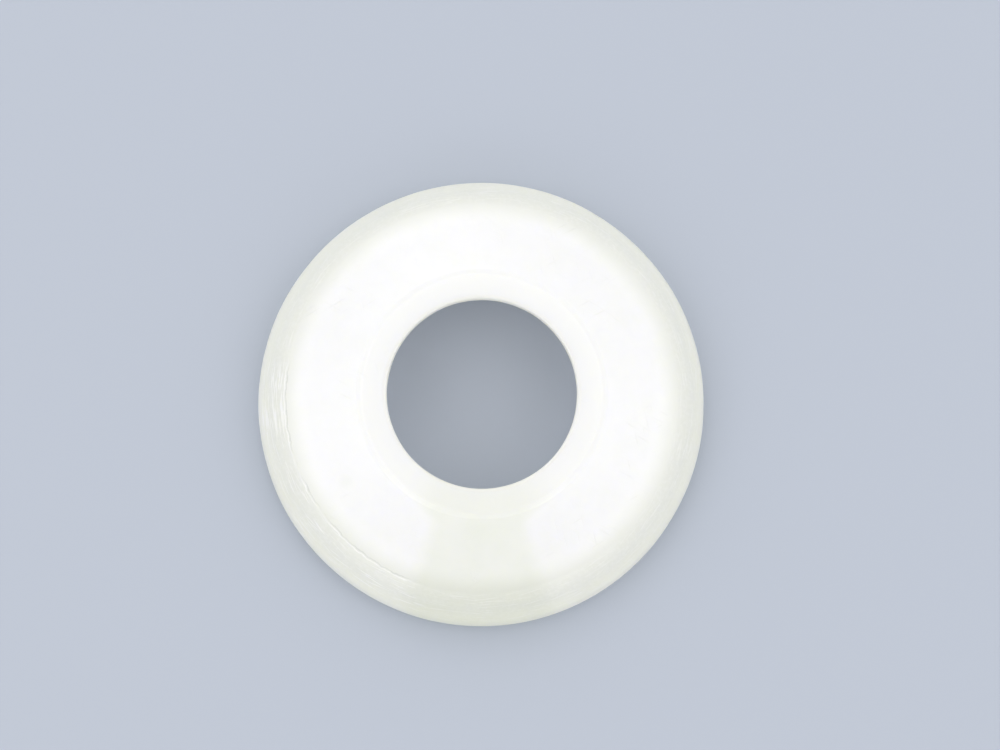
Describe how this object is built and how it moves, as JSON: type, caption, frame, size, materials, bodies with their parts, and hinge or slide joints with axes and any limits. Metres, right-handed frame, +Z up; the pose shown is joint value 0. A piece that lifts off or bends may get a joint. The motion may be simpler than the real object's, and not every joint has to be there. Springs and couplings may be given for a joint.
{
  "type": "flat washer",
  "caption": "Thick moulded plastic washer with a raised land round its bore, a sloping crown, a round shoulder and a flat underside, used to spread and cushion a bolt's load",
  "frame": {"origin": "Middle of the flat underside, on the axis of the bore", "axes": "+Z runs up the axis of the bore from the flat underside to the land; the ring is the same all round, so +X and +Y are any two square directions in the plane of the underside"},
  "size_m": [0.025, 0.025, 0.005],
  "materials": {
    "milky_plastic": "satin"
  },
  "bodies": {
    "root": {"washer_ring": "milky_plastic"}
  },
  "joints": []
}
